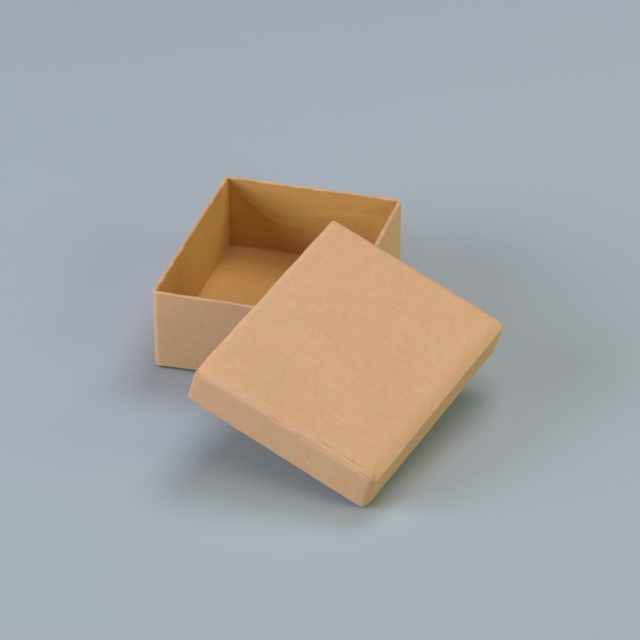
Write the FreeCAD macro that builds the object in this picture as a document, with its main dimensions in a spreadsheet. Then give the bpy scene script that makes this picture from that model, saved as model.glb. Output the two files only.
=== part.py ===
import FreeCAD, Part
import Sketcher

import os

# A small rigid gift box: an open tray and a shallow lift-off lid. Each is greyboard, scored,
# folded up square and covered all over with one glued sheet of kraft paper.
# The lid is off. It leans on the tray: its near corner stands on the ground, its left skirt
# crosses the tray's front rim and its back skirt crosses the tray's right rim.
#
# Frame: +Z up, +X to the right along the tray's front wall, +Y to the back. The origin is the
# middle of the tray's base, on the ground.

# Driving sizes in millimetres, and one angle in degrees: alias, value, meaning.
SIZES = [
    ("tray_width", 70.0, "tray, outside, left to right"),
    ("tray_length", 90.0, "tray, outside, front to back"),
    ("tray_height", 32.0, "tray, outside, ground to rim"),
    ("lid_depth", 15.5, "lid, outside, top to rim"),
    ("board_thickness", 1.2, "greyboard inside the paper"),
    ("paper_thickness", 0.15, "kraft paper, one layer"),
    ("lid_clearance", 0.4, "gap on each side between the tray and the closed lid"),
    ("corner_radius", 1.6, "rounding of the upright outer corners, where two walls meet"),
    ("crease_radius", 1.8, "rounding around the closed face, where the scored board folds"),
    ("rim_radius", 0.5, "rounding along both edges of a rim"),
    ("front_rest", 24.9, "tray's front right corner to the rest on the front rim"),
    ("side_rest", 33.0, "tray's front right corner to the rest on the right rim"),
    ("lid_swing", 23.5, "degrees between the lid's left skirt and the line of the two rests"),
]

# Sizes that follow from the driving sizes: name, group, expression.
# "sizes" is the sheet and "derived" is the object that holds these.
DERIVED = [
    # A wall is board with paper outside and turned in; a closed face has paper outside only.
    ("wall", "board", "sizes.board_thickness + 2 * sizes.paper_thickness"),
    ("plate", "board", "sizes.board_thickness + sizes.paper_thickness"),
    ("lid_width", "lid", "sizes.tray_width + 2 * (sizes.lid_clearance + derived.wall)"),
    ("lid_length", "lid", "sizes.tray_length + 2 * (sizes.lid_clearance + derived.wall)"),
    # The line of the two rests, and how far each lies from the lid's inner back left corner.
    ("rest_line", "lean", "hypot(sizes.front_rest; sizes.side_rest)"),
    ("left_leg", "lean", "derived.rest_line * cos(sizes.lid_swing)"),
    ("back_leg", "lean", "derived.rest_line * sin(sizes.lid_swing)"),
    # The near corner, as the centre of its rounding, from the same inner corner.
    ("near_along_left", "lean", "derived.lid_length - derived.wall - sizes.corner_radius"),
    ("near_along_back", "lean", "derived.lid_width - derived.wall - sizes.corner_radius"),
    # How far beyond the line of the rests the near corner reaches, in the plane of the lid's rim.
    ("near_moment", "lean",
     "derived.near_along_left * derived.back_leg + derived.near_along_back * derived.left_leg"),
    ("near_distance", "lean",
     "(derived.near_moment - derived.left_leg * derived.back_leg) / derived.rest_line"),
    ("reach", "lean", "derived.near_distance + sizes.corner_radius - sizes.rim_radius"),
    # The tilt that puts the rounded near corner on the ground: the rests are at tray height.
    ("round_part", "lean", "atan(sizes.rim_radius / derived.reach) / 1 deg"),
    ("drop_part", "lean",
     "asin((sizes.tray_height - sizes.rim_radius) / hypot(derived.reach; sizes.rim_radius)) / 1 deg"),
    ("tilt", "lean", "derived.round_part + derived.drop_part"),
    # The lid's turn on plan: from its own line of rests to the tray's.
    ("turn", "lean", "atan(sizes.side_rest / sizes.front_rest) / 1 deg - 90 + sizes.lid_swing"),
]

# How the lid lies: its own rest point goes to the origin, it turns on plan, it tilts about the
# line of the rests, and the rest point goes to the tray's front rim.
REST_POINT_HOME = (
    "placement(vector(derived.lid_width / 2 - derived.wall;"
    " derived.left_leg + derived.wall - derived.lid_length / 2; 0); rotation(vector(0; 0; 1); 0))"
)
TURN = "placement(vector(0; 0; 0); rotation(vector(0; 0; 1); derived.turn))"
TILT_ON_FRONT_RIM = (
    "placement(vector(sizes.tray_width / 2 - sizes.front_rest;"
    " -sizes.tray_length / 2; sizes.tray_height);"
    " rotation(vector(sizes.front_rest; sizes.side_rest; 0); derived.tilt))"
)

TOUCHING = 1e-6


def make_sheet(doc):
    """Put the driving sizes in a spreadsheet, one aliased cell each."""
    sheet = doc.addObject("Spreadsheet::Sheet", "sizes")
    for row, (alias, value, meaning) in enumerate(SIZES, start=1):
        sheet.set("A%d" % row, alias)
        sheet.set("B%d" % row, str(value))
        sheet.set("C%d" % row, meaning)
        sheet.setAlias("B%d" % row, alias)
    doc.recompute()
    return sheet


def make_derived(doc):
    """Hold the sizes that follow from the sheet, each bound to its expression."""
    derived = doc.addObject("App::VarSet", "derived")
    for name, group, expression in DERIVED:
        derived.addProperty("App::PropertyFloat", name, group)
        derived.setExpression(name, expression)
        doc.recompute()
    return derived


def plane(body, role):
    """Return one of a body's own origin planes."""
    for feature in body.Origin.OriginFeatures:
        if feature.Role == role:
            return feature
    raise ValueError("no plane " + role)


def add_rectangle(body, name, width, length, level):
    """Sketch a rectangle centred on the body's axis, at a level above its XY plane."""
    sketch = body.newObject("Sketcher::SketchObject", name)
    sketch.AttachmentSupport = [(plane(body, "XY_Plane"), "")]
    sketch.MapMode = "FlatFace"
    corners = [(-1, -1), (1, -1), (1, 1), (-1, 1)]
    for (x1, y1), (x2, y2) in zip(corners, corners[1:] + corners[:1]):
        start = FreeCAD.Vector(x1, y1, 0)
        end = FreeCAD.Vector(x2, y2, 0)
        sketch.addGeometry(Part.LineSegment(start, end), False)
    for side in range(4):
        sketch.addConstraint(Sketcher.Constraint("Coincident", side, 2, (side + 1) % 4, 1))
    for side in (0, 2):
        sketch.addConstraint(Sketcher.Constraint("Horizontal", side))
        sketch.addConstraint(Sketcher.Constraint("Vertical", side + 1))
    sketch.addConstraint(Sketcher.Constraint("Symmetric", 0, 1, 2, 1, -1, 1))
    across = sketch.addConstraint(Sketcher.Constraint("DistanceX", 0, 1, 0, 2, 2.0))
    along = sketch.addConstraint(Sketcher.Constraint("DistanceY", 1, 1, 1, 2, 2.0))
    sketch.setExpression("Constraints[%d]" % across, width)
    sketch.setExpression("Constraints[%d]" % along, length)
    sketch.setExpression(".AttachmentOffset.Base.z", level)
    return sketch


def fillet(body, name, base, picks, radius):
    """Round the edges of a feature that a test picks."""
    edges = [
        "Edge%d" % number
        for number, edge in enumerate(base.Shape.Edges, start=1)
        if picks(edge)
    ]
    rounding = body.newObject("PartDesign::Fillet", name)
    rounding.Base = (base, edges)
    rounding.setExpression("Radius", radius)
    body.Document.recompute()
    return rounding


def is_upright(edge):
    """Pick the edges that run along Z."""
    box = edge.BoundBox
    return box.XLength < TOUCHING and box.YLength < TOUCHING


def lies_at(level):
    """Make a test that picks the edges lying flat at one level."""
    def picks(edge):
        box = edge.BoundBox
        return abs(box.ZMin - level) < TOUCHING and abs(box.ZMax - level) < TOUCHING
    return picks


def make_shell(doc, label, width, length, depth, opens_up):
    """Build a folded and wrapped half of the box, closed at one end and open at the other.

    The half stands on the body's XY plane: a tray opens up, a lid opens down.
    """
    body = doc.addObject("PartDesign::Body", label)
    body.Label = label

    outline = add_rectangle(body, label + "_outline", width, length, "0 mm")
    block = body.newObject("PartDesign::Pad", label + "_block")
    block.Profile = outline
    block.setExpression("Length", depth)
    outline.Visibility = False
    doc.recompute()

    corners = fillet(body, label + "_corners", block, is_upright, "sizes.corner_radius")
    top = corners.Shape.BoundBox.ZMax
    closed_level = 0.0 if opens_up else top
    rim_level = top if opens_up else 0.0
    creases = fillet(body, label + "_creases", corners, lies_at(closed_level), "sizes.crease_radius")

    inside = add_rectangle(
        body,
        label + "_inside",
        width + " - 2 * derived.wall",
        length + " - 2 * derived.wall",
        "derived.plate" if opens_up else "0 mm",
    )
    hollow = body.newObject("PartDesign::Pocket", label + "_hollow")
    hollow.Profile = inside
    hollow.Reversed = True
    hollow.setExpression("Length", depth + " - derived.plate")
    inside.Visibility = False
    doc.recompute()
    if hollow.Shape.Volume > creases.Shape.Volume - TOUCHING:
        raise ValueError(label + ": the hollow cut nothing")

    rim = fillet(body, label + "_rim", hollow, lies_at(rim_level), "sizes.rim_radius")
    body.Tip = rim
    doc.recompute()
    return body


def lean_lid(lid):
    """Bind the lid's placement to the rests on the tray's rims and to the ground."""
    lid.setExpression("Placement", " * ".join([TILT_ON_FRONT_RIM, TURN, REST_POINT_HOME]))
    lid.Document.recompute()


def check(doc, bodies):
    """Stop if any object failed to compute or any piece is not one sound solid."""
    for item in doc.Objects:
        for state in item.State:
            if state in ("Invalid", "Error"):
                raise ValueError("%s is %s" % (item.Name, state))
    for body in bodies:
        shape = body.Shape
        if shape.isNull() or not shape.isValid() or len(shape.Solids) != 1:
            raise ValueError(body.Label + " is not one valid solid")


def main():
    doc = FreeCAD.newDocument("gift_box")
    make_sheet(doc)
    make_derived(doc)
    tray = make_shell(
        doc, "tray", "sizes.tray_width", "sizes.tray_length", "sizes.tray_height", opens_up=True
    )
    lid = make_shell(
        doc, "lid", "derived.lid_width", "derived.lid_length", "sizes.lid_depth", opens_up=False
    )
    lean_lid(lid)
    check(doc, [tray, lid])
    os.makedirs("parts", exist_ok=True)
    for body in (tray, lid):
        body.Shape.exportStep("parts/%s.step" % body.Label)
        box = body.Shape.BoundBox
        print("%s: %.0f cubic mm, %s" % (body.Label, body.Shape.Volume, box))


main()
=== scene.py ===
# %% [markdown]
# # A small kraft gift box with its lid off
#
# The box is the rigid kind that a gift shop sells: grey board folded into a tray, with brown kraft
# paper glued round it, and a shallower lid made the same way. The lid leans on the tray, so its
# inside and the tray's inside can both be seen from one side or another.
#
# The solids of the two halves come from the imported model, at their real size and in their real
# place. They are plain: what makes card and paper look right is small, so this script builds each
# half again as a fine skin over its solid, with the soft folds, seams and cockles of wrapped paper.
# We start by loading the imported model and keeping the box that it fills.

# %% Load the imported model
import math
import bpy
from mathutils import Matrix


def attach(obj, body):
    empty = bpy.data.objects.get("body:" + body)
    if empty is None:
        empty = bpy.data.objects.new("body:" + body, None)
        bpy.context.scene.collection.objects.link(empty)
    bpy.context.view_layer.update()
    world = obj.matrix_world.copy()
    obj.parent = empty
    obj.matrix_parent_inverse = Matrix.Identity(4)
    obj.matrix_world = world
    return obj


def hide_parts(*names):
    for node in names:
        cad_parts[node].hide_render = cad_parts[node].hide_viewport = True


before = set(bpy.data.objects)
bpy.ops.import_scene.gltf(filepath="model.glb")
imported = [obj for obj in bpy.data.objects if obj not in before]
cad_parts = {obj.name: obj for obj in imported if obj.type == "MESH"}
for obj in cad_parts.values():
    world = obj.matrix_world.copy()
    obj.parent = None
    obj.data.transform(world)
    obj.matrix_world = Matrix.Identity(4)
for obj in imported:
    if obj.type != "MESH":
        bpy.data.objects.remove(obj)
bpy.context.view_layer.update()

from types import SimpleNamespace

import bpy
import numpy as np
from mathutils import Vector

MM = 0.001  # one millimetre, in Blender's metres

# %% [markdown]
# ## Measuring the two halves
#
# The tray stands square on the table, but the lid leans two ways at once. A skin that is built
# square and then turned into place needs to know how its half stands, how big it is, and how thick
# and how rounded its board is. All of that could be typed in again, but it would be wrong as soon
# as somebody changed the solid. So it is read from the solid's own faces.
#
# The trick is to add up area times normal times normal over all the triangles. A tray has most of
# its area in the plate and the floor, less in the long walls and least in the short walls, so the
# three main directions of that sum are the three directions of the tray, in a known order.

# %% The triangles of a half
def triangles(node):
    """Corner points of a node's triangles in mm, as an array of (triangle, corner, axis)."""
    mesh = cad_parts[node].data
    points = np.empty(3 * len(mesh.vertices))
    mesh.vertices.foreach_get("co", points)
    corners = np.empty(len(mesh.loops), dtype=np.int32)
    mesh.loops.foreach_get("vertex_index", corners)
    return points.reshape(-1, 3)[corners].reshape(-1, 3, 3) / MM


print("triangles:", {node: len(triangles(node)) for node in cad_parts})

# %% Which way a half stands
ALONG = 0.9999  # a face counts as facing a way if the cosine between them is above this


def facing(normal, way):
    """Which of the triangles face a way."""
    return normal @ way > ALONG


def squared(area, normal, way):
    """A direction made exact: the mean of area times normal over the triangles that face it."""
    mean = (area[:, None] * normal)[facing(normal, way)].sum(axis=0)
    return mean / np.linalg.norm(mean)


def directions(corners, area, normal):
    """A half's own directions as columns: across its width, along its length, to its open side.

    They are the main directions of the sum of area times normal times normal. The middle of the
    surface lies nearer to the closed side than the middle of the box does.
    """
    spread = np.einsum("t,ti,tj->ij", area, normal, normal)
    opening, across = np.linalg.eigh(spread)[1][:, [2, 1]].T
    low, high = corners.min(axis=(0, 1)), corners.max(axis=(0, 1))
    surface = (area[:, None] * corners.mean(axis=1)).sum(axis=0) / area.sum()
    opens = (surface - (low + high) / 2) @ opening < 0
    opening = squared(area, normal, opening if opens else -opening)
    across = squared(area, normal, across if across[0] > 0 else -across)
    return np.column_stack([across, np.cross(opening, across), opening])


print(f"a face may be {math.degrees(math.acos(ALONG)):.2f} degrees off its way")

# %% How big a half is
LEVEL = 0.01  # mm, faces that are this near to the same height are level


def measure_half(node):
    """How a half stands and how big it is, in mm.

    origin is the middle of the closed face. The other sizes are distances between flat faces, and
    where a flat face stops, its rounding begins.
    """
    corners = triangles(node)
    cross = np.cross(corners[:, 1] - corners[:, 0], corners[:, 2] - corners[:, 0])
    area = np.linalg.norm(cross, axis=1) / 2
    normal = cross / np.maximum(2 * area, 1e-9)[:, None]
    ways = directions(corners, area, normal)

    local = corners @ ways
    low, high = local.min(axis=(0, 1)), local.max(axis=(0, 1))
    start = np.array([*(low + high)[:2] / 2, low[2]])
    local = local - start
    width, length, depth = high - low
    upward = local[facing(normal, ways[:, 2])]
    brim = upward[upward[:, :, 2].min(axis=1) > depth - LEVEL]
    sides = local[facing(normal, ways[:, 0])]
    outer = sides[sides[:, :, 0].min(axis=1) > 0]
    return SimpleNamespace(
        name=node, ways=ways, origin=ways @ start, width=width, length=length, depth=depth,
        wall=sides[:, :, 0].min() + width / 2, plate=upward[:, :, 2].min(),
        corner=length / 2 - outer[:, :, 1].max(), rim=width / 2 - brim[:, :, 0].max())


HALVES = {node: measure_half(node) for node in ("tray", "lid")}
for node, half in HALVES.items():
    sizes = np.round([half.width, half.length, half.depth, half.wall], 2)
    print(f"{node}: width, length, depth, wall {sizes} mm, opens towards {half.ways[:, 2].round(3)}")
lid = HALVES["lid"]  # the half that the next cells try things out on

# %% [markdown]
# ## The section of a wrapped wall
#
# Cut through one wall, the paper runs like this: across the closed face, round a crease, up the
# outside, over the rim, down the inside and onto the floor. Board is scored before it is folded,
# and doesn't bend as a quarter circle: beside the score it is crushed and slopes down gently for a
# couple of millimetres, and then it turns sharply. So the lid has a narrow flat band all round its
# top, with a crisp lower edge.
#
# A Bevel modifier on a plain box would round the crease evenly, and lose that band. A curve like it
# is made by choosing how the heading turns along it, and adding up small steps. Each point of the
# section has three numbers: how far it lies in from the outside of the wall, how high it is above
# the closed face, and how round the box's corner is when seen from above there.

# %% Two shapes that everything is made with
# Pairs such as BASE_FADE, further down, are the start and the width of a rise.
def rise(value, start, width):
    """A smooth step: 0 below start, 1 above start plus width, 3 t squared less 2 t cubed between."""
    part = np.clip((value - start) / width, 0, 1)
    return part * part * (3 - 2 * part)


def bell(distance, width):
    """A bump of height 1: e to the minus square of distance over width."""
    return np.exp(-((distance / width) ** 2))


print(f"halfway up a rise: {rise(0.5, 0, 1)}, one width from a bell's middle: {bell(1, 1):.3f}")

# %% The scored fold
FOLDS = {"tray": (0.5, 9), "lid": (2.3, 26)}  # mm, width of the crushed band, and degrees of slope
TURN = 1.0  # mm of paper in the sharp turn after the band
FOLD_STEP = 0.14  # mm between points round the fold
FINER = 20  # steps added up for each point that is kept


def running(steps):
    """The running total of some steps, from 0 on."""
    return np.concatenate([[0], np.cumsum(steps)])


def scored_fold(band, slope):
    """A quarter turn from level to upright, as insets and heights.

    The heading rises evenly by the slope over the band, and smoothly by the rest over the turn.
    The curve is the sum of small steps along it, each as long as the next.
    """
    steps = int(np.ceil((band + TURN) / FOLD_STEP))
    along = np.linspace(0, band + TURN, FINER * steps + 1)
    heading = slope * np.minimum(along / band, 1) + (90 - slope) * rise(along, band, TURN)
    heading = np.radians(heading)
    middle = (heading[1:] + heading[:-1]) / 2
    out = running(np.cos(middle)) * along[1]
    up = running(np.sin(middle)) * along[1]
    return (out[-1] - out)[::FINER], up[::FINER]


for node, (band, slope) in FOLDS.items():
    fold = scored_fold(band, slope)
    print(f"the {node}'s crease reaches {fold[0][0]:.2f} mm in and {fold[1][-1]:.2f} mm up")

# %% A plain round bend
BEND_STEPS = 4


def round_bend(centre, radius, start, stop):
    """An arc about centre from one angle to another, in degrees, as insets and heights."""
    angle = np.radians(np.linspace(start, stop, BEND_STEPS + 1))
    return centre[0] + radius * np.cos(angle), centre[1] + radius * np.sin(angle)


print("a bend from level to upright:", np.round(round_bend((0, 0), 1, 0, 90), 2).tolist())

# %% [markdown]
# ## Lines closer together where the detail is
#
# A seam in the paper is a step of about a tenth of a millimetre, and the wall beside it is nearly
# flat for centimetres. A grid fine enough for the seam everywhere would be millions of faces. So
# the grid's lines are graded: they are a millimetre or so apart on the plain stretches, and draw
# together near each place that is marked for detail.

# %% Graded lines
LINE_STEP = 1.0  # mm between lines on plain stretches
MARK_STEP = 0.09  # mm between lines at a mark
MARK_REACH = 0.7  # mm, how far round a mark the lines are drawn together
WAY_POINTS = 6000  # places at which the spacing is worked out


def graded(low, high, marks=()):
    """Positions from low to high, close together at each mark.

    The spacing dips at a mark as a bell curve. Lines are counted along the way, one for each
    spacing passed, and laid where that count goes up in equal steps.
    """
    way = np.linspace(low, high, WAY_POINTS)
    near = np.zeros_like(way)
    for mark in marks:
        near = np.maximum(near, bell(way - mark, MARK_REACH))
    density = 1 / (LINE_STEP - (LINE_STEP - MARK_STEP) * near)
    count = running((density[1:] + density[:-1]) / 2 * np.diff(way))
    lines = int(np.ceil(count[-1]))
    return np.interp(np.linspace(0, count[-1], lines + 1), count, way)


print("20 mm with one mark:", len(graded(0, 20, marks=[5])), "lines")

# %% The section of a half, point by point
INNER_CORNER = 0.35  # mm, how round the box's inside corners are, seen from above
PLATE_CORNER = 0.20  # how much of the corner's round is left where the crease meets the plate
CORNERS = {"tray": 1.0, "lid": 0.6}  # corner radius over the solid's own, for slack or tight paper
FOOT = 0.5  # mm, the round where the inside paper turns from the wall to the floor
ONTO_FLOOR = 2.5  # how many of those rounds the band runs in from the wall


def section(half):
    """Insets, heights, corner rounds and distances along the paper, from the plate to the floor."""
    crease_in, crease_up = scored_fold(*FOLDS[half.name])
    brim = half.depth - half.rim
    outside = graded(crease_up[-1], brim)[1:-1]
    inside = graded(half.plate + FOOT, brim)[-2:0:-1]
    over_out = round_bend((half.rim, brim), half.rim, 180, 90)
    over_in = round_bend((half.wall - half.rim, brim), half.rim, 90, 0)
    foot = round_bend((half.wall + FOOT, half.plate + FOOT), FOOT, 180, 270)
    inset = np.concatenate([crease_in, 0 * outside, over_out[0], over_in[0],
                            0 * inside + half.wall, foot[0], [half.wall + ONTO_FLOOR * FOOT]])
    height = np.concatenate([crease_up, outside, over_out[1], over_in[1],
                             inside, foot[1], [half.plate]])
    kept = 1 - (1 - PLATE_CORNER) * crease_in / crease_in[0]
    over = np.clip(inset[len(kept):] / half.wall, 0, 1)
    corner = half.corner * np.concatenate([kept, 1 - (1 - INNER_CORNER / half.corner) * over])
    run = running(np.hypot(np.diff(inset), np.diff(height)))
    return SimpleNamespace(inset=inset, height=height, corner=corner, run=run)


for node, half in HALVES.items():
    half.corner *= CORNERS[node]
print("points in the sections:", {node: len(section(half).run) for node, half in HALVES.items()})

# %% [markdown]
# ## From lines to a closed skin
#
# Seen from above, the box is a rectangle with round corners. Two sets of lines, one across and one
# along, cover it. Each line has a place between the two corners, and near an end it also has a
# place inside the corner's round. A square patch of grid becomes a quarter disc if each point is
# pulled in along its ray until the square's edge lies on the circle, and that keeps the lines of
# the plate, the walls and the corners in one piece: every line of the plate runs on up the wall.
#
# The plate and the floor are two such patches. The band between them is the section carried round
# the outline. It starts on the plate's edge points and ends on the floor's, so nothing has to be
# welded and the skin has no hole. Flat panels set edge to edge would be simpler, but their joints
# would show, and relief would tear them apart.

# %% Lines across one side
CORNER_STEPS = 5


def side_lines(half_size, corner, marks):
    """One set of lines, each as a place and a bite, from -1 to 1.

    place is where it lies between the two corners. bite is how far it goes into a corner's round:
    the tangent of an angle that goes up in equal steps, so the points end up evenly round it.
    """
    flat = half_size - corner
    places = graded(-flat, flat, marks) / flat
    bites = np.tan(np.radians(np.linspace(0, 45, CORNER_STEPS + 1)))[1:]
    place = np.concatenate([-np.ones(CORNER_STEPS), places, np.ones(CORNER_STEPS)])
    bite = np.concatenate([-bites[::-1], np.zeros(len(places)), bites])
    return place, bite


print("lines across the lid:", len(side_lines(lid.width / 2, lid.corner, [])[0]))

# %% Places in plan
def disc(bite_x, bite_y):
    """Turns a square patch into a disc: each point is scaled by its larger side over its length."""
    larger = np.maximum(np.abs(bite_x), np.abs(bite_y))
    length = np.hypot(bite_x, bite_y)
    scale = np.where(length > 0, larger / np.maximum(length, 1e-12), 1)
    return bite_x * scale, bite_y * scale


def in_plan(half, lines, inset, corner):
    """X and Y of points on given lines, for an outline that lies inset from the outer walls.

    place times the straight half of the side, and bite times the corner's radius on top.
    """
    place_x, bite_x, place_y, bite_y = lines
    round_x, round_y = disc(bite_x, bite_y)
    return (place_x * (half.width / 2 - inset - corner) + round_x * corner,
            place_y * (half.length / 2 - inset - corner) + round_y * corner)


print("a square's corner, on the disc:", np.round(disc(1.0, 1.0), 3))

# %% The grid over a half, and its edge
def ring_of(index):
    """The indices along the edge of a grid of them, in order round it, anticlockwise from above."""
    return np.concatenate([index[:, 0], index[-1, 1:], index[-2::-1, -1], index[0, -2:0:-1]])


def quads(index):
    """The four corners of each cell of a grid of indices, going along its rows first."""
    corners = [index[:-1, :-1], index[:-1, 1:], index[1:, 1:], index[1:, :-1]]
    return np.stack(corners, axis=-1).reshape(-1, 4)


def grid_of(half, marks):
    """The lines of a half at every point of a patch, and at the points of the patch's edge."""
    across = side_lines(half.width / 2, half.corner, [])
    along = side_lines(half.length / 2, half.corner, marks)
    columns, rows = len(across[0]), len(along[0])
    index = np.arange(columns * rows).reshape(columns, rows)
    lines = [np.repeat(line, rows) for line in across] + [np.tile(line, columns) for line in along]
    ring = ring_of(index)
    return SimpleNamespace(lines=lines, edge=[line[ring] for line in lines], ring=ring, index=index)


print("a patch of 4 by 3 points has the ring", ring_of(np.arange(12).reshape(4, 3)))

# %% The points of a skin
def points_of(half, grid, path):
    """Points of the plate, the floor and the band, and for each how far inside the box it is.

    The plate lies at the first point of the section, the floor at its last, the band at the rest.
    """
    size = grid.index.size
    plate, floor = (np.column_stack([*in_plan(half, grid.lines, path.inset[end], path.corner[end]),
                                     np.full(size, path.height[end])]) for end in (0, -1))
    band_x, band_y = in_plan(half, grid.edge, path.inset[1:-1, None], path.corner[1:-1, None])
    band_z = np.broadcast_to(path.height[1:-1, None], band_x.shape)
    band = np.stack([band_x, band_y, band_z], axis=-1).reshape(-1, 3)
    over = np.clip(path.inset / half.wall, 0, 1) * (path.run > half.depth / 2)
    inner = np.concatenate([np.zeros(size), np.ones(size), np.repeat(over[1:-1], len(grid.ring))])
    return np.concatenate([plate, floor, band]), inner


def normals_of(points, faces):
    """Unit normals at the points: the cross products of each face's diagonals, added up."""
    one, two, three, four = (points[faces[:, corner]] for corner in range(4))
    cross = np.cross(three - one, four - two)
    total = np.zeros_like(points)
    np.add.at(total, faces, cross[:, None, :])
    return total / np.linalg.norm(total, axis=1)[:, None]


print("points of a plain lid:", len(points_of(lid, grid_of(lid, []), section(lid))[0]))

# %% The skin of a half, and the flat sheet that it was
SHEETS_APART = 3  # lengths of the box between the outer sheet and the one on the floor


def skin_of(half, marks=()):
    """The smooth skin of a half in its own directions, in mm, with its closed face at height 0.

    points and faces are the mesh. inner goes from 0 on the outside to 1 on the inside, across the
    rim. sheet holds, for each corner of each face, its place on the flat paper before folding: a
    point of the band lies as far beyond the plate's edge as the section has run by then.
    """
    path = section(half)
    grid = grid_of(half, marks)
    points, inner = points_of(half, grid, path)
    size = grid.index.size
    band = np.arange(2 * size, len(points)).reshape(-1, len(grid.ring))
    rows = np.vstack([grid.ring, band, size + grid.ring])
    rows = np.concatenate([rows, rows[:, :1]], axis=1)
    cells = quads(grid.index)
    faces = np.concatenate([cells, size + cells[:, ::-1], quads(rows)])

    way_x, way_y = disc(grid.edge[1], grid.edge[3])
    edge_x, edge_y = in_plan(half, grid.edge, path.inset[0], path.corner[0])
    run = path.run[:, None]
    paper = np.stack([edge_x + way_x * run, edge_y + way_y * run], axis=-1)
    paper = np.concatenate([paper, paper[:, :1]], axis=1).reshape(-1, 2)
    inside = points[size + cells[:, ::-1]][..., :2] + [0, SHEETS_APART * half.length]
    strip = paper[quads(np.arange(len(paper)).reshape(rows.shape))]
    sheet = np.concatenate([points[cells][..., :2], inside, strip])
    return SimpleNamespace(points=points, faces=faces, inner=inner, sheet=sheet)


trial = skin_of(lid)
print("faces of a plain lid:", len(trial.faces))

# %% [markdown]
# ## What the paper does
#
# Kraft paper is glued on wet, so it is never quite flat when it has dried. It cockles a little
# everywhere. On the long walls it lies double near the corners, where an ear of the short wall's
# paper is folded round and the long flap is laid over it, with its cut edge just short of the
# corner. Where three folds meet, at the corners of the closed face, there is a tiny hole.
#
# All of this is a tenth or two of a millimetre high, and it is what the eye knows a wrapped box by.
# Bump in the material could shade it, but wouldn't change an outline or catch on a rim. So it is
# real relief in the mesh: a height along the normal, worked out from where each point lies.

# %% Random waves, and cockles made of them
def ripples(points, waves, seed, count=28):
    """Soft random waves, given by typical height and by longest and shortest length.

    A sum of sines, each with its own direction, phase and length. Longer waves are higher, in
    proportion to their length to the power of 0.7.
    """
    high, longest, shortest = waves
    chance = np.random.default_rng(seed)
    ways = chance.normal(size=(count, 3))
    ways /= np.linalg.norm(ways, axis=1)[:, None]
    lengths = np.geomspace(longest, shortest, count)
    heights = lengths**0.7
    turns = points @ (2 * np.pi * ways / lengths[:, None]).T + chance.uniform(0, 2 * np.pi, count)
    return high * (np.sin(turns) @ heights / np.sqrt((heights**2).sum() / 2))


LONG_COCKLES = (0.030, 34, 9)  # mm, as for all waves: height, longest and shortest length
FINE_COCKLES = (0.010, 8, 3)


def cockle(half, skin, normal, seed):
    """Slight unevenness all over: long waves of centimetres plus fine ones of millimetres."""
    return ripples(skin.points, LONG_COCKLES, seed) + ripples(skin.points, FINE_COCKLES, seed + 1)


print(f"cockles: {np.ptp(cockle(lid, trial, None, 0)):.3f} mm from lowest to highest")

# %% The flap's edge, and the ear under it
PAPER = 0.15  # mm, thickness of the kraft paper
FLAP_EDGE = 1.6  # mm from the corner to the cut edge of the long wall's flap
CUT_WIDTH = 0.14  # mm over which the paper steps at that edge
CUT_STRAYS = (0.12, 20, 6)  # mm, the waves in which that edge strays
SLIT = (0.04, 0.13)  # mm deep and mm wide, the groove along the edge
EAR = (11.0, 2.5)  # mm from the corner, where the ear ends
EAR_SLANT = 0.12  # mm nearer to the corner for each mm up
EAR_STRAYS = 6  # how many times as far as the cut edge the ear's end strays
EAR_SHOWS = 0.8  # how much of the flap's height is due to the ear
GLUED = 0.25  # how much of it shows near the closed face, where it is glued hardest
LOOSER = (0.35, 0.3)  # shares of the depth, where more and more of it shows


def flaps(half, skin, normal, seed):
    """The flap's cut edge beside each corner of the long walls, and the ear that shows through it.

    Half the paper's thickness, times a step up at the cut edge and one down where the ear ends.
    """
    x, y, z = skin.points.T
    from_end = half.length / 2 - np.abs(y) - skin.inner * half.wall
    long_wall = normal[:, 0] ** 8
    strays = ripples(skin.points * [1, 0, 1], CUT_STRAYS, seed)
    layer = rise(from_end, FLAP_EDGE + strays, CUT_WIDTH)
    layer *= 1 - EAR_SHOWS * rise(from_end + EAR_SLANT * z, EAR[0] + EAR_STRAYS * strays, EAR[1])
    slit = SLIT[0] * bell(from_end - FLAP_EDGE - strays, SLIT[1])
    lifted = GLUED + (1 - GLUED) * rise(z, LOOSER[0] * half.depth, LOOSER[1] * half.depth)
    return long_wall * (1 - skin.inner) * lifted * (0.5 * PAPER * layer - slit)


print("the flap's edge lies", FLAP_EDGE, "mm from the corner")

# %% The corners where three folds meet
FOLD_POINT = (0.6, 0.9)  # mm in from both walls, and up from the closed face
PINHOLE = (0.40, 0.55)  # mm deep and mm wide
TORN = {"tray": (-1, -1), "lid": (1, 1)}  # signs of x and y of the corner where the paper has split
WHOLE = 0.35  # how much of a tear the other corners have, about a third


def fold_corners(half, points):
    """How far points are from the nearest corner of the closed face."""
    x, y, z = points.T
    aside, up = FOLD_POINT
    away_x, away_y = half.width / 2 - aside - np.abs(x), half.length / 2 - aside - np.abs(y)
    return np.sqrt(away_x**2 + away_y**2 + (z - up) ** 2)


def torn(half, points):
    """How much of a tear each corner has: all of it at the named corner, and a third elsewhere."""
    sign_x, sign_y = TORN[half.name]
    return WHOLE + (1 - WHOLE) * (points[:, 0] * sign_x > 0) * (points[:, 1] * sign_y > 0)


def pinholes(half, skin, normal, seed):
    """A small dent at each corner of the closed face, as a bell round the point of its folds."""
    depth, width = PINHOLE
    dent = bell(fold_corners(half, skin.points), width) * (1 - skin.inner)
    return -depth * torn(half, skin.points) * dent


print("a torn corner's dent is", PINHOLE[0], "mm deep")

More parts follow.
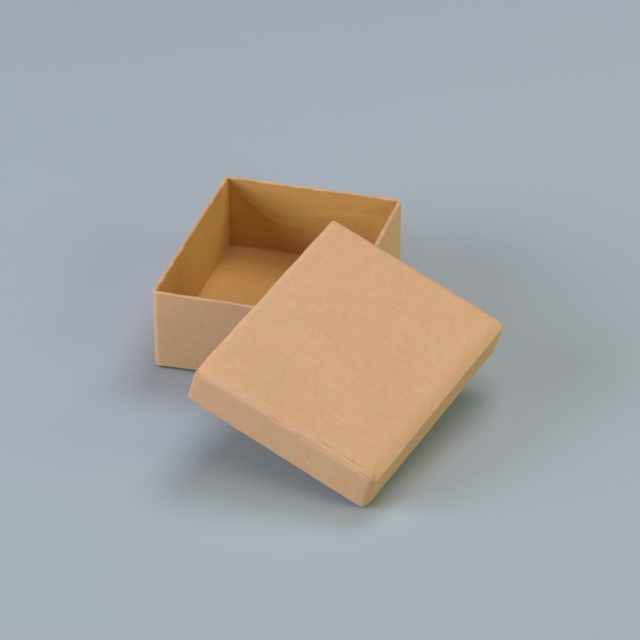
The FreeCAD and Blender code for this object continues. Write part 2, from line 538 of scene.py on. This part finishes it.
# %% The crushed crease and the uneven rim
CRUSH = 0.15  # depth of the dents, over the width of the crushed band
CRUSH_WAVES = (0.5, 14, 5)  # share of that depth, and mm
CRUSH_MEAN, CRUSH_MOST = 0.6, 1.4  # shares of that depth too
CRUSH_FADE = (1.0, 1.2)  # mm up the wall, where the dents fade
CRUSH_ELSEWHERE = 0.3  # share of the depth on the sides that don't face positive y
RIM_TOP = 2.5  # mm of wall below the rim in which the paper is uneven
RIM_WAVES = (0.042, 14, 3)  # mm
RIM_SLACK = 0.12  # mm that the paper stands off the outside of the rim


def crushed_crease(half, skin, normal, seed):
    """Dents along the crease, deepest where the band meets the sharp turn, and most on one side."""
    z = skin.points[:, 2]
    at_turn = rise(z, 0, 0.5) * (1 - rise(z, *CRUSH_FADE)) * (skin.inner < 0.5)
    side = CRUSH_ELSEWHERE + (1 - CRUSH_ELSEWHERE) * rise(normal[:, 1], 0.1, 0.3)
    depth = CRUSH_MEAN + ripples(skin.points, CRUSH_WAVES, seed, count=12)
    return -CRUSH * FOLDS[half.name][0] * at_turn * side * np.clip(depth, 0, CRUSH_MOST)


def uneven_rim(half, skin, normal, seed):
    """The paper over the rim isn't pulled quite tight, and it stands off a little on the outside."""
    top = rise(skin.points[:, 2], half.depth - RIM_TOP, RIM_TOP)
    return top * (ripples(skin.points, RIM_WAVES, seed) + RIM_SLACK * (1 - skin.inner))


SHARED = (cockle, flaps, pinholes, crushed_crease, uneven_rim)
plain = normals_of(trial.points, trial.faces)
for number, part in enumerate(SHARED):
    amount = part(lid, trial, plain, seed=number)
    print(f"{part.__name__} from {amount.min():.3f} to {amount.max():.3f} mm")

# %% [markdown]
# ## What the board does
#
# The board under the paper has moved too, and by more. Walls lean in or out a little in the middle,
# where nothing holds them. The tray's base is hollow, so its near edge stands clear of the table
# between its corners. Corners get blunt, and rims wear down at their ends. On the lid, one corner
# has been pressed in, and the wall beside another is pushed inwards.
#
# A few sculpted strokes could do this by hand. Here each change is a rule that moves the points a
# little further, one after the other, so it still holds if the size of the box changes.

# %% Bowed walls and a hollow base
BOW_POWER = 1.5  # how quickly a wall's lean grows with height
HOLLOW_POWER = 12  # high, so that the base is level across most of its width
BASE_FADE = (2, 8)  # mm up the wall, where the hollow fades


def bowed(half, x, y, z, across, along, lean):
    """Moves whole walls: each leans most at the middle of its rim, by a cosine along it.

    across and along push opposite walls apart, and lean pushes both long walls to one side.
    """
    lift = np.clip(z / half.depth, 0, 1) ** BOW_POWER
    moved_x = x + (across * 2 * x / half.width + lean) * np.cos(np.pi * y / half.length) * lift
    moved_y = y + along * 2 * y / half.length * np.cos(np.pi * x / half.width) * lift
    return moved_x, moved_y, z


def hollow(half, x, y, z, amount):
    """Raises the closed face between its long walls: the amount, times 1 less x to a high power."""
    bridge = 1 - np.clip(2 * x / half.width, -1, 1) ** HOLLOW_POWER
    return x, y, z + amount * bridge * (1 - rise(z, *BASE_FADE))


print(f"halfway up, a wall leans {0.5**BOW_POWER:.2f} of what it does at the rim")

# %% Worn and pressed corners
RIM_FADE = 4  # mm of wall below the rim that the wear reaches
FACE_FADE = (1.2, 5)  # mm up the wall, where a change of the closed face fades


def worn_corners(half, x, y, z, drop, width):
    """Lowers the rim at its four corners, by a bell round each, and less and less further down."""
    away = np.hypot(half.width / 2 - np.abs(x), half.length / 2 - np.abs(y))
    return x, y, z - drop * bell(away, width) * rise(z, half.depth - RIM_FADE, RIM_FADE)


def pressed(half, x, y, z, drop, width):
    """Presses the closed face in at its corner of negative x and positive y, by a bell round it."""
    away = np.hypot(half.width / 2 + x, half.length / 2 - y)
    return x, y, z + drop * bell(away, width) * (1 - rise(z, *FACE_FADE))


print("wear reaches", RIM_FADE, "mm down from the rim")

# %% A blunted corner, and a wall that is pushed in
BLUNT_FADE = (0.2, 0.8)  # shares of the depth, where the corner gets sharper
SLOPE_STOPS = 0.4  # mm short of the wall


def blunted(half, x, y, z, radius, at_rim):
    """Rounds off the torn corner, seen from above, and less towards the rim.

    What lies within the radius of both walls is drawn in as a square patch is drawn in to a disc.
    """
    sign_x, sign_y = TORN[half.name]
    bite_x = np.clip(radius - half.width / 2 + sign_x * x, 0, None)
    bite_y = np.clip(radius - half.length / 2 + sign_y * y, 0, None)
    round_x, round_y = disc(bite_x, bite_y)
    start, width = BLUNT_FADE
    kept = 1 - (1 - at_rim) * rise(z, start * half.depth, width * half.depth)
    return x + sign_x * kept * (round_x - bite_x), y + sign_y * kept * (round_y - bite_y), z


def drawn_in(half, x, y, z, near, far, width, depth):
    """Moves the wall of positive x inwards, by near at its end of positive y and far at the other.

    The closed face slopes down beside that wall, as a smooth step of the given width and depth.
    """
    amount = (near + far) / 2 + (near - far) * y / half.length
    slope = depth * rise(x, half.width / 2 - SLOPE_STOPS - width, width) * (1 - rise(z, *FACE_FADE))
    return x - amount * rise(x, 0, half.width / 2), y, z + slope


BENT = {
    "tray": [(bowed, dict(across=-0.065, along=0.06, lean=-0.175)),
             (hollow, dict(amount=1.05)),
             (worn_corners, dict(drop=0.35, width=1.6)),
             (blunted, dict(radius=2.0, at_rim=1.0))],
    "lid": [(bowed, dict(across=0.08, along=0.06, lean=0.0)),
            (worn_corners, dict(drop=0.2, width=2.4)),
            (drawn_in, dict(near=0.9, far=0.4, width=4.2, depth=0.85)),
            (pressed, dict(drop=1.1, width=9.0)),
            (blunted, dict(radius=3.7, at_rim=0.6))],
}  # in turn, and in mm, but at_rim is the share of the bluntness that is left at the rim
for change, amounts in BENT["lid"]:
    moved = change(lid, *trial.points.T, **amounts) - trial.points.T
    print(f"{change.__name__} moves the lid by up to {np.abs(moved).max():.2f} mm an axis")

# %% [markdown]
# ## Marks that belong to one half
#
# Every box also has a few marks of its own. On this lid the closed face is crushed along the near
# wall, and the paper there has wrinkled, as short pinches and one longer fold that runs towards
# the near corner. Inside the tray, the paper of the far wall has dried in a few long waves.
#
# The groove of each wrinkle is darkened with painted shade, and the sunk strip gets a cooler tint
# of painted light. So each half's function gives three things for every point: a height, a painted
# shade and a painted light. They come from the same curves, and so the shade always lies on its
# wrinkle.

# %% Along the lid's near wall
CRUSHED = (1.3, 3.2, 0.65)  # mm from the wall, width and depth of the crushed strip
STRIP_WAVES = (0.25, 9, 5)  # share of that depth, and mm
STRIP_FADE = (1.0, 3.0)  # mm up the wall, where the strip fades
# The strip's cooler tint is painted light, for the light that its slope gets.
STRIP_LIGHT_REACH = (2.6, 1.8)  # mm from the wall, where the painted light fades
STRIP_LIGHT_FADE = (1.0, 0.5)  # mm up the wall, where it fades
STRIP_LIGHT_STRAYS = 0.25  # mm further up, times how uneven the strip is
STRIP_LIGHT_END = (3, 2)  # mm before a corner where the painted light starts to end, and over how many


def near_strip(half, skin, normal):
    """How far the strip along the near wall has sunk, and how much painted light tints it.

    Both are smooth steps towards the wall, uneven along it. The painted light ends short of both
    corners.
    """
    x, y, z = skin.points.T
    from_wall = half.length / 2 - y
    outside = skin.inner < 0.5
    uneven = ripples(skin.points * [1, 0, 0], STRIP_WAVES, seed=5, count=12)
    start, width, depth = CRUSHED
    strip = (1 - rise(from_wall, start, width)) * (1 - rise(z, *STRIP_FADE)) * outside
    sunk = -depth * (1 + uneven) * strip * np.abs(normal[:, 2])
    strip_light = (1 - rise(from_wall, *STRIP_LIGHT_REACH)) * (1 - rise(z - STRIP_LIGHT_STRAYS * uneven, *STRIP_LIGHT_FADE))
    ends = 1 - rise(np.abs(x), half.width / 2 - STRIP_LIGHT_END[0], STRIP_LIGHT_END[1])
    return sunk, strip_light * (normal[:, 1] > -0.5) * outside * ends


sunk, strip_light = near_strip(lid, trial, plain)
print(f"the strip is up to {-sunk.min():.2f} mm deep")

# %% The lid's wrinkles
WRINKLE_IN = 2.6  # mm from the near wall to the wrinkles
WRINKLE = (0.13, 0.35)  # mm deep and wide
LIP = (0.03, 0.5, 0.55)  # mm high, wide, and away from the wrinkle
PINCHES = (-22.0, -9.5, -2.5, 4.0)  # mm along the near wall, from its middle
PINCH = (0.55, 1.8)  # how deep a pinch is beside the long fold, and mm wide
LONG_FOLD = (9, 5)  # mm along, where the long fold begins
FOLD_END = (7, 4)  # mm before the corner where it starts to end, and over how many
FOLD_UNEVEN = (0.2, 1.9)  # how much the long fold's depth varies, and mm to a radian of that
WANDER = (0.18, 2.3)  # mm that the line of wrinkles strays, and mm to a radian of that
LINE_SLANT = 0.010  # mm further in for each mm along
WRINKLE_DARK, DARK_WIDTH = 0.8, 0.40  # how dark the painted shade in a wrinkle's groove is, and over how many mm
STRIP_PAINTED_LIGHT = 0.9  # how strongly painted light tints the strip


def lid_marks(half, skin, normal):
    """Height, painted shade and painted light of the lid: wrinkles along a slightly wavy line, on the
    sunk strip.
    """
    x, y, z = skin.points.T
    line = half.length / 2 - WRINKLE_IN - WANDER[0] * np.sin(x / WANDER[1]) - LINE_SLANT * x
    reach = rise(x, *LONG_FOLD) * (1 - rise(x, half.width / 2 - FOLD_END[0], FOLD_END[1]))
    reach = reach * (1 - FOLD_UNEVEN[0] + FOLD_UNEVEN[0] * np.sin(x / FOLD_UNEVEN[1]))
    for pinch in PINCHES:
        reach = np.maximum(reach, PINCH[0] * bell(x - pinch, PINCH[1]))
    reach = reach * (z < 0.5) * (skin.inner < 0.5)
    lip = LIP[0] * bell(y - line + LIP[2], LIP[1])
    height = reach * (lip - WRINKLE[0] * bell(y - line, WRINKLE[1]))
    sunk, strip_light = near_strip(half, skin, normal)
    # the second value is painted shade in each wrinkle's groove, the third painted light on the strip
    return sunk + height, WRINKLE_DARK * reach * bell(y - line, DARK_WIDTH), STRIP_PAINTED_LIGHT * strip_light


print(len(PINCHES), "pinches, and a long fold from", LONG_FOLD[0], "mm on")

# %% The waves inside the tray's far wall
STRENGTH = 0.75  # of all the folds' heights


def tray_marks(half, skin, normal):
    """Height of the tray, with no painted shade or light: shallow folds, each a bell about a curve of
    z over x.

    left is the way from the wall's left end. Each fold has a height, a curve, a width and a reach:
    one sags in its middle, a ridge and a dip lie further right, one slants at the left end, and a
    slight one runs under the rim.
    """
    x, y, z = skin.points.T
    far_wall = (skin.inner > 0.9) * (normal[:, 1] < -0.9)
    left = x + half.width / 2
    folds = ((0.30, 14.5 + 0.030 * (left - 27) ** 2, 0.9, bell(left - 26, 9)),
             (0.22, 20.5 + 1.5 * np.sin(left / 6.0), 1.3, rise(left, 14, 8)),
             (-0.20, 23.5 + 1.0 * np.sin(left / 8.0 + 1), 1.2, rise(left, 30, 12)),
             (0.20, 30.0 - 0.75 * left, 1.1, 1 - rise(left, 16, 8)),
             (0.09, half.depth - 3.6 - 0.2 * np.sin(left / 3.0), 0.45, 1 - rise(left, 40, 15)))
    waves = sum(high * bell(z - curve, width) * reach for high, curve, width, reach in folds)
    return STRENGTH * far_wall * waves, 0 * z, 0 * z


MARKS = {"tray": tray_marks, "lid": lid_marks}
for node, part in MARKS.items():
    smooth = skin_of(HALVES[node])
    height, painted_shade, wear_and_painted_light = part(HALVES[node], smooth, normals_of(smooth.points, smooth.faces))
    print(f"{part.__name__}: {height.min():.2f} to {height.max():.2f} mm, bruise {painted_shade.max():.2f}")

# %% [markdown]
# ## Where wear, painted light and painted shade go
#
# The mesh also carries three shades for the finish, one number a point each. The first is partly
# real wear, on edges that hands and other boxes touch, and partly painted light: a cooler tint on
# creases and rims. The second is painted shade: inner corners, the foot of the inner walls, the
# pinholes, the rim's top, the tray's upright edges and the underside of its crease are darkened.
# The third says how far inside the box a point is, and it deepens the inside's colour, which is
# painted shade as well.
#
# A material can find edges from how a surface curves, but it can't tell a rim from a foot. Worked
# out here, each shade knows where on the box it is.

# %% Wear and painted light
RIM_WEAR_AND_LIGHT = 0.3  # how much wear and painted light a rim gets beside a crease
RIM_WEAR_AND_LIGHT_FADE = (1.3, 1.0)  # mm below the rim where that starts, and over how many
WEAR_AND_LIGHT_MEAN = 0.6  # share of the wear and painted light
WEAR_AND_LIGHT_WAVES = (0.4, 18, 3)  # share of the wear and painted light, and mm


def edge_wear_and_painted_light(half, skin, normal, seed):
    """Wear and painted light, most on creases and rims: 4 n squared (1 less n squared) is highest
    where a face turns.
    """
    # partly real wear, partly painted light: a tint standing in for the light on faces that turn
    n = normal[:, 2] ** 2
    brim = rise(skin.points[:, 2], half.depth - RIM_WEAR_AND_LIGHT_FADE[0], RIM_WEAR_AND_LIGHT_FADE[1])
    amount = np.maximum(4 * n * (1 - n), RIM_WEAR_AND_LIGHT * brim)
    return np.clip(amount * (WEAR_AND_LIGHT_MEAN + ripples(skin.points, WEAR_AND_LIGHT_WAVES, seed)), 0, 1)


print(f"mean rub of a plain lid: {edge_wear_and_painted_light(lid, trial, plain, 0).mean():.3f}")

# %% Painted shade inside
FOOT_DARK = 0.8  # how dark the painted shade at the foot of the inner walls is
FOOT_WIDTH = 0.5  # mm, width of that dark
INNER_DARK = (0.9, 0.6)  # mm, width of an inner corner's painted shade, and how much more near the rim
NEAR_RIM = 6  # mm below the rim in which it gets wider and darker


def painted_shade_inside(half, skin):
    """Painted shade down the inner corners, more so near the rim, and along the foot of the inner
    walls.
    """
    x, y, z = skin.points.T
    in_x = half.width / 2 - half.wall - np.abs(x)
    in_y = half.length / 2 - half.wall - np.abs(y)
    near_brim = rise(z, half.depth - NEAR_RIM, NEAR_RIM)
    width = INNER_DARK[0] + INNER_DARK[1] * near_brim
    corner = bell(np.hypot(in_x, in_y), width) * skin.inner * (1 + near_brim)
    foot = bell(np.minimum(np.abs(in_x), np.abs(in_y)), FOOT_WIDTH) * bell(z - half.plate, FOOT_WIDTH)
    return np.maximum(corner, FOOT_DARK * foot * skin.inner)


print(f"darkest inside: {painted_shade_inside(lid, trial).max():.2f}")

# %% Painted shade anywhere
EDGE_SHADE = {"tray": 0.3, "lid": 0.0}  # how dark the painted shade on the upright outer edges is
UNDERSIDE_SHADE = {"tray": 1.0, "lid": 0.0}  # how dark the painted shade under the outer crease is
CORNER_SHADE_REACH = {"tray": 0.8, "lid": 1.2}  # mm, how far the painted shade of a torn corner reaches
CORNER_SHADE = 1.5  # how dark the painted shade in a torn corner is in its middle, before that is cut off at 1
RIM_DARK = (0.45, 1.0)  # how dark the painted shade on a rim's top is outside, and how much more inside
RIM_DARKENS = (0.7, 0.5)  # mm below the rim where that starts, and over how many
DARK_MEAN = 0.7  # share of the dark
DARK_WAVES = (0.5, 12, 4)  # share of the dark, and mm


def painted_shade_of(half, skin, normal, seed):
    """Painted shade, the darkest of: inside, fold corners, the rim, upright edges, and the crease's
    underside.
    """
    z = skin.points[:, 2]
    outside = 1 - skin.inner
    uneven = np.clip(DARK_MEAN + ripples(skin.points, DARK_WAVES, seed), 0, 1)
    # painted shade in the pinhole at each fold corner
    corner_shade = CORNER_SHADE * bell(fold_corners(half, skin.points), CORNER_SHADE_REACH[half.name]) * outside
    # painted shade on the rim's top, more on its inner side
    brim = rise(z, half.depth - RIM_DARKENS[0], RIM_DARKENS[1])
    top = (RIM_DARK[0] + RIM_DARK[1] * rise(skin.inner, 0.3, 0.4)) * brim
    # painted shade on the upright outer edges
    edge = EDGE_SHADE[half.name] * 4 * (normal[:, 0] * normal[:, 1]) ** 2 * outside
    # painted shade on the crease's underside, where the table's contact shadow falls
    down = np.clip(-normal[:, 2], 0, 1)
    underside_shade = UNDERSIDE_SHADE[half.name] * rise(down, 0.3, 0.3) * (1 - rise(down, 0.9, 0.1))
    darkest = np.maximum.reduce([uneven * painted_shade_inside(half, skin), uneven * top,
                                 corner_shade * torn(half, skin.points) ** 2, edge, underside_shade])
    return np.clip(darkest, 0, 1)


print(f"mean bruise of a plain lid: {painted_shade_of(lid, trial, plain, 0).mean():.3f}")

# %% [markdown]
# ## Building a half
#
# Now the parts come together: the skin, the relief along its normals, the changes of the board, and
# the turn into place. The mesh keeps the flat sheet as a UV map and the shades as attributes. The
# object itself stays at the origin, unturned, because the place is in the mesh.

# %% From skin to mesh
SEEDS = {"tray": 11, "lid": 47}  # where each half's random waves start
SHEET_UNIT = 10  # mm of paper to one unit of the UV map


def shape_of(half, skin):
    """The points of a finished half in metres, in place, with its painted shade, wear and painted
    light.
    """
    seed = SEEDS[half.name]
    normal = normals_of(skin.points, skin.faces)
    relief, painted_shade, wear_and_painted_light = MARKS[half.name](half, skin, normal)
    for number, part in enumerate(SHARED):
        relief = relief + part(half, skin, normal, seed + 10 * number)
    place = (skin.points + relief[:, None] * normal).T
    for change, amounts in BENT[half.name]:
        place = change(half, *place, **amounts)
    # The first shade is wear and painted light, the second painted shade, and the third sets where
    # the inside's colour is deepened as painted shade.
    shades = {"wear_and_painted_light": np.maximum(wear_and_painted_light, edge_wear_and_painted_light(half, skin, normal, seed + 90)),
              "painted_shade": np.maximum(painted_shade, painted_shade_of(half, skin, normal, seed + 91)),
              "inside": rise(skin.inner, 0.8, 0.2)}
    return (half.origin + np.column_stack(place) @ half.ways.T) * MM, shades


print("seeds:", SEEDS)

# %% Building both halves
def add_object(name, data):
    """A new object in the scene, at the origin and unturned."""
    thing = bpy.data.objects.new(name, data)
    bpy.context.scene.collection.objects.link(thing)
    return thing


def build_half(node):
    """The finished skin of a half as an object, with its place in its mesh."""
    half = HALVES[node]
    seam = half.length / 2 - FLAP_EDGE
    marks = [-seam, seam] + ([half.length / 2 - WRINKLE_IN] if node == "lid" else [])
    skin = skin_of(half, marks)
    placed, shades = shape_of(half, skin)
    mesh = bpy.data.meshes.new(node + "_wrapped")
    mesh.from_pydata(placed.tolist(), [], skin.faces.tolist())
    paper = mesh.uv_layers.new(name="paper")
    paper.uv.foreach_set("vector", (skin.sheet / SHEET_UNIT).astype(np.float32).ravel())
    mesh.shade_smooth()
    for name, values in shades.items():
        attribute = mesh.attributes.new(name, "FLOAT", "POINT")
        attribute.data.foreach_set("value", values.astype(np.float32))
    return add_object(mesh.name, mesh)


PIECES = {node: build_half(node) for node in HALVES}
for node, piece in PIECES.items():
    print(piece.name, "has", 2 * len(piece.data.polygons), "triangles")

# %% [markdown]
# ## Kraft paper
#
# Unbleached kraft is a warm mid brown that looks plain from a step away and never does close to.
# The pulp is a little thicker here and thinner there, so the tone drifts over a centimetre and the
# hue drifts between pinkish and yellowish. Fibres a millimetre or two long cross it every way, some
# paler and some darker than the sheet. Small flecks of bark sit in it. It is matt.
#
# A scan of real paper would show all of this, but a scan has a fixed size and repeats. Noise does
# neither. The drifts and flecks are solid noise, which doesn't care how the paper is folded. The
# fibres lie in the sheet, so their noise is stretched along the sheet's own flat coordinates, once
# for each of several angles, and it turns over the creases with the paper as real fibres do.

# %% A small helper for nodes
class Nodes:
    """Adds nodes to a material's tree, sets their values and links them."""

    def __init__(self, material):
        material.use_nodes = True
        self.tree = material.node_tree
        self.tree.nodes.clear()

    def add(self, kind, settings=None, numbered=None, **named):
        """A node of that kind, with its settings, and with its inputs by number or by name.

        An input is a number, a colour, or another node's output to link to.
        """
        node = self.tree.nodes.new(kind)
        for name, value in (settings or {}).items():
            setattr(node, name, value)
        inputs = {name.replace("_", " "): value for name, value in named.items()}
        for key, value in {**(numbered or {}), **inputs}.items():
            if isinstance(value, bpy.types.NodeSocket):
                self.tree.links.new(value, node.inputs[key])
            else:
                node.inputs[key].default_value = value
        return node

    def noise(self, place, scale, detail=2):
        """Cloudy noise from 0 to 1, with so many waves to the unit of the place."""
        return self.add("ShaderNodeTexNoise", Vector=place, Scale=scale, Detail=detail).outputs["Fac"]

    def combine(self, operation, first, second):
        """One step of arithmetic on two sockets or numbers."""
        return self.add("ShaderNodeMath", {"operation": operation}, {0: first, 1: second}).outputs[0]

    def ramp(self, value, low, high):
        """0 below low, 1 above high, smooth between."""
        return self.add("ShaderNodeMapRange", {"interpolation_type": "SMOOTHSTEP"},
                        Value=value, From_Min=low, From_Max=high).outputs[0]

    def blend(self, factor, first, second, way="MIX"):
        """Goes from the first colour to the second, or to their product, with the factor."""
        return self.add("ShaderNodeMix", {"data_type": "RGBA", "blend_type": way},
                        {0: factor, 6: first, 7: second}).outputs[2]

    def surface(self, **inputs):
        """The shader that all of it leads to, by its inputs' names."""
        shader = self.add("ShaderNodeBsdfPrincipled", **inputs)
        self.add("ShaderNodeOutputMaterial", Surface=shader.outputs[0])


print("node helper ready")

# %% Fibres and flecks
FIBRE_LONG, FIBRE_THIN = 5.0, 52.0  # waves to the unit of the UV map, along a fibre and across it
FIBRE_STEP = (1.0, 7.0)  # how much both go up from one angle to the next
FIBRE_SHIFT = 3.7  # so that no two angles are cut from the same noise
CHOOSY = 0.02  # a narrow ramp, so that a cell has a whole fleck or none


def fibres(nodes, sheet, angles, low, high):
    """Fibres at several angles: noise stretched to about 2 mm by 0.2 mm, where it is high."""
    total = 0.0
    for number, angle in enumerate(angles):
        turned = nodes.add("ShaderNodeMapping", Vector=sheet, Rotation=(0, 0, math.radians(angle)))
        scale = (FIBRE_LONG + FIBRE_STEP[0] * number, FIBRE_THIN + FIBRE_STEP[1] * number, 1)
        stretched = nodes.add("ShaderNodeMapping", Vector=turned.outputs[0],
                              Location=(FIBRE_SHIFT * number, 0, 0), Scale=scale)
        noise = nodes.noise(stretched.outputs[0], scale=1, detail=1)
        total = nodes.combine("MAXIMUM", nodes.ramp(noise, low, high), total)
    return total


def flecks(nodes, solid, per_metre, share, size):
    """Small round flecks: the middles of some cells, where share is the part without one."""
    cells = nodes.add("ShaderNodeTexVoronoi", Vector=solid, Scale=per_metre)
    lot = nodes.add("ShaderNodeSeparateColor", Color=cells.outputs["Color"]).outputs[0]
    chosen = nodes.ramp(lot, share, share + CHOOSY)
    return nodes.combine("MULTIPLY", chosen, nodes.ramp(cells.outputs["Distance"], size, size / 2))


print(f"a fibre is about {SHEET_UNIT / FIBRE_LONG:.1f} mm by {SHEET_UNIT / FIBRE_THIN:.1f} mm")

# %% The colours of kraft
PINKISH = (0.705, 0.390, 0.226, 1)  # the sheet's own colour, at one end of its drift
YELLOWISH = (0.675, 0.395, 0.210, 1)  # and at the other
PALE = (0.80, 0.53, 0.33, 1)  # bleached fibres
WEAR_AND_LIGHT_TINT = (0.68, 0.41, 0.28, 1)  # partly real wear on edges and creases, partly painted light: a cooler tint on turning faces and on the lid's crushed strip
DARK = (0.46, 0.245, 0.115, 1)  # dark fibres, thick places in the pulp, and painted shade
BARK = (0.30, 0.150, 0.065, 1)  # flecks
INSIDE_SHADE_TINT = (0.875, 0.83, 0.475, 1)  # painted shade: what the inside keeps of those colours, deeper and warmer
DRIFT, BROAD, PULP, GRAIN = 130, 32, 400, 2600  # waves to the metre of each kind of unevenness


def shade(nodes, name):
    """One of the mesh's three shades."""
    return nodes.add("ShaderNodeAttribute", {"attribute_name": name}).outputs["Fac"]


def tone(nodes, solid, sheet, pulp, pale):
    """The colour of the sheet: two hues that drift, and layers over them, each by its strength."""
    drift = nodes.ramp(nodes.noise(solid, DRIFT), 0.35, 0.65)
    broad = nodes.ramp(nodes.noise(solid, BROAD), 0.40, 0.75)
    dark = fibres(nodes, sheet, (71, -15, 38, -60), low=0.61, high=0.76)
    colour = nodes.blend(drift, PINKISH, YELLOWISH)
    layers = ((broad, 0.10, PALE),
              (nodes.ramp(pulp, 0.30, 0.80), 0.17, DARK),
              (pale, 0.32, PALE),
              (dark, 0.24, DARK),
              (flecks(nodes, solid, per_metre=520, share=0.86, size=0.26), 0.20, DARK),
              (flecks(nodes, solid, per_metre=170, share=0.94, size=0.16), 0.22, BARK),
              # wear and painted light: a cooler tint on creases, rims and the lid's strip
              (shade(nodes, "wear_and_painted_light"), 0.50, WEAR_AND_LIGHT_TINT),
              # painted shade in corners, feet, pinholes, rims, edges and wrinkles
              (shade(nodes, "painted_shade"), 0.60, DARK))
    for where, strength, tint in layers:
        colour = nodes.blend(nodes.combine("MULTIPLY", where, strength), colour, tint)
    # the inside's deeper, warmer colour is painted shade
    return nodes.blend(shade(nodes, "inside"), colour, INSIDE_SHADE_TINT, "MULTIPLY")


print("from pinkish", PINKISH[:3], "to yellowish", YELLOWISH[:3])

# %% The kraft material
SHIFTS = {"tray": 0.0, "lid": 0.4}  # m, so that the two halves aren't cut from the same spot
BUMPS = (0.8, 0.35, 0.4)  # how high the pulp, the grain and the pale fibres stand
BUMP_DEPTH = 0.05  # mm


def kraft(name, shift):
    """Kraft paper: its tone, a fine bump from the same pulp and fibres, and hardly any gloss."""
    material = bpy.data.materials.new(name)
    nodes = Nodes(material)
    place = nodes.add("ShaderNodeTexCoord").outputs["Object"]
    solid = nodes.add("ShaderNodeMapping", Vector=place, Location=(shift, 0, 0)).outputs[0]
    sheet = nodes.add("ShaderNodeUVMap", {"uv_map": "paper"}).outputs[0]
    pulp = nodes.noise(solid, PULP)
    grain = nodes.noise(solid, GRAIN)
    pale = fibres(nodes, sheet, (12, -48, 64, -81), low=0.60, high=0.74)
    height = 0.0
    for part, high in zip((pulp, grain, pale), BUMPS):
        height = nodes.combine("ADD", height, nodes.combine("MULTIPLY", part, high))
    bump = nodes.add("ShaderNodeBump", Height=height, Strength=0.3, Distance=BUMP_DEPTH * MM)
    nodes.surface(Base_Color=tone(nodes, solid, sheet, pulp, pale), Roughness=0.88,
                  Specular_IOR_Level=0.12, Normal=bump.outputs[0])
    return material


for node, shift in SHIFTS.items():
    piece = PIECES[node]
    piece.data.materials.append(kraft(node + "_kraft", shift))
    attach(piece, "root")
    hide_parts(node)
print("finished:", [piece.name for piece in PIECES.values()])

# %% [markdown]
# ## Table, light and camera
#
# The box is shown on a plain pale table. One sun lamp would be simpler, but its shadows are hard
# and it leaves the inside black. Here a big soft lamp, like a window, stands low on the left, and
# five weaker ones give what the walls and ceiling of a room would send back. So the lid's top is
# the brightest face, and the near walls are a step darker. The inside's shade comes partly from the
# lamps and is partly painted, deeper and warmer, into the paper's colour, as is the darkening of
# corners, feet and edges. The world is dark, so that the lamps give all the light. The camera
# stands far off with a long lens, which keeps the sides of a small box nearly parallel.

# %% The table
TABLE_REACH = 6.0  # m from the middle to each side, far beyond the view
TABLE = (0.38, 0.42, 0.46, 1)  # a cool pale grey


def make_table():
    """A flat sheet, far larger than the view, at the height that the box stands on."""
    mesh = bpy.data.meshes.new("table")
    corners = [(-1, -1), (1, -1), (1, 1), (-1, 1)]
    mesh.from_pydata([(x * TABLE_REACH, y * TABLE_REACH, 0) for x, y in corners], [], [(0, 1, 2, 3)])
    material = bpy.data.materials.new("table_top")
    Nodes(material).surface(Base_Color=TABLE, Roughness=0.7, Specular_IOR_Level=0.2)
    mesh.materials.append(material)
    table = add_object("table", mesh)
    return table


print("made the", make_table().name)

# %% How a lamp or a camera is placed
CENTRE = (0.015, 0.0, 0.02)  # m, what the lamps point at
LAMP_DISTANCE = 1.2  # m
LAMP_HIGH = 0.6  # m


def stand(thing, azimuth, elevation, distance, target):
    """Puts a thing round a target, by degrees to the right of its front and up, facing it."""
    turn, lift = math.radians(azimuth), math.radians(elevation)
    way = Vector((math.sin(turn) * math.cos(lift), -math.cos(turn) * math.cos(lift), math.sin(lift)))
    thing.location = Vector(target) + distance * way
    thing.rotation_euler = way.to_track_quat("Z", "Y").to_euler()


def lamp(name, azimuth, elevation, wide, watts, colour):
    """A soft rectangular lamp."""
    data = bpy.data.lights.new(name, "AREA")
    data.shape, data.size, data.size_y = "RECTANGLE", wide, LAMP_HIGH
    data.energy, data.color = watts, colour
    stand(add_object(name, data), azimuth, elevation, LAMP_DISTANCE, CENTRE)


print("lamps stand", LAMP_DISTANCE, "m from", CENTRE)

# %% Lamps and world
LAMPS = (  # degrees to the right of the front and up, m wide, watts, and colour
    ("window", -57, 22, 1.0, 14.1, (0.85, 0.945, 1.0)),
    ("above", 0, 88, 0.6, 2.4, (1.0, 0.87, 0.96)),
    ("above_right", 60, 60, 0.6, 1.7, (1.0, 0.78, 0.71)),
    ("behind", 162, 58, 0.7, 7.2, (0.89, 0.91, 1.0)),
    ("right", 90, 25, 0.6, 4.0, (0.78, 1.0, 0.58)),
    ("right_near", 48, 16, 0.6, 2.8, (0.94, 1.0, 0.78)))
for row in LAMPS:
    lamp(*row)
world = bpy.data.worlds.new("room")
bpy.context.scene.world = world
world.use_nodes = True
world.node_tree.nodes["Background"].inputs["Strength"].default_value = 0

# %% The camera
CAMERA = dict(azimuth=15.64, elevation=31.64, distance=1.087)  # degrees, and m
CAMERA_TARGET = (0.0145, 0.0029, 0.0)  # m, the point on the table in the middle of the view
HALF_VIEW = 0.1103  # half of the view's width, over its distance

camera_data = bpy.data.cameras.new("camera")
camera_data.lens = camera_data.sensor_width / 2 / HALF_VIEW
camera = add_object("camera", camera_data)
stand(camera, target=CAMERA_TARGET, **CAMERA)
bpy.context.scene.camera = camera
bpy.context.scene.view_settings.view_transform = "Standard"
print("lens", round(camera_data.lens, 1), "mm")
